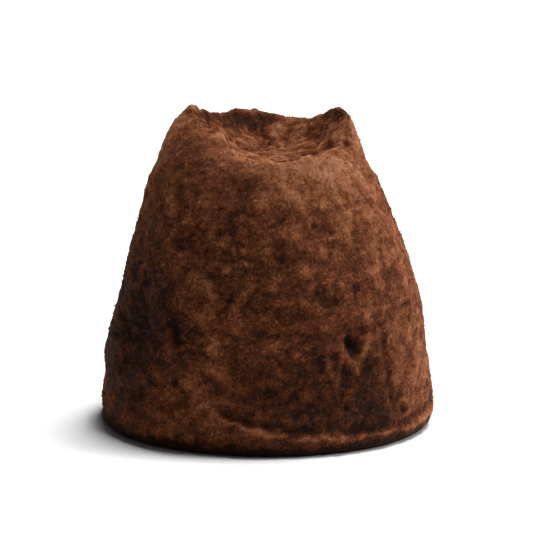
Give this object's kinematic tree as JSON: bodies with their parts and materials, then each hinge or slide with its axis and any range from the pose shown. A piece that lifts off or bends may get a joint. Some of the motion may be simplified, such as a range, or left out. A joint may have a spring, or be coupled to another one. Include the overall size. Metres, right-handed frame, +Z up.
{
  "type": "chocolate truffle",
  "caption": "Chocolate truffle dusted with cocoa: a blunt cone that stands on its wide end, with a torn, dished top between two raised corners. A sweet for a box, plate or dessert.",
  "frame": {"origin": "centre of the flat underside, on the table: the bottom centre of the truffle's box", "axes": "+Z up from the table through the torn top, -Y towards the viewer of the picture, +X to the viewer's right, towards the short tab on the rim"},
  "size_m": [0.0257, 0.0258, 0.0245],
  "materials": {
    "cocoa_powder": "dry cocoa powder pressed onto dark chocolate: fully matte, red-brown, paler on ridges and darker in pits"
  },
  "bodies": {
    "root": {"truffle": "cocoa_powder"}
  },
  "joints": []
}
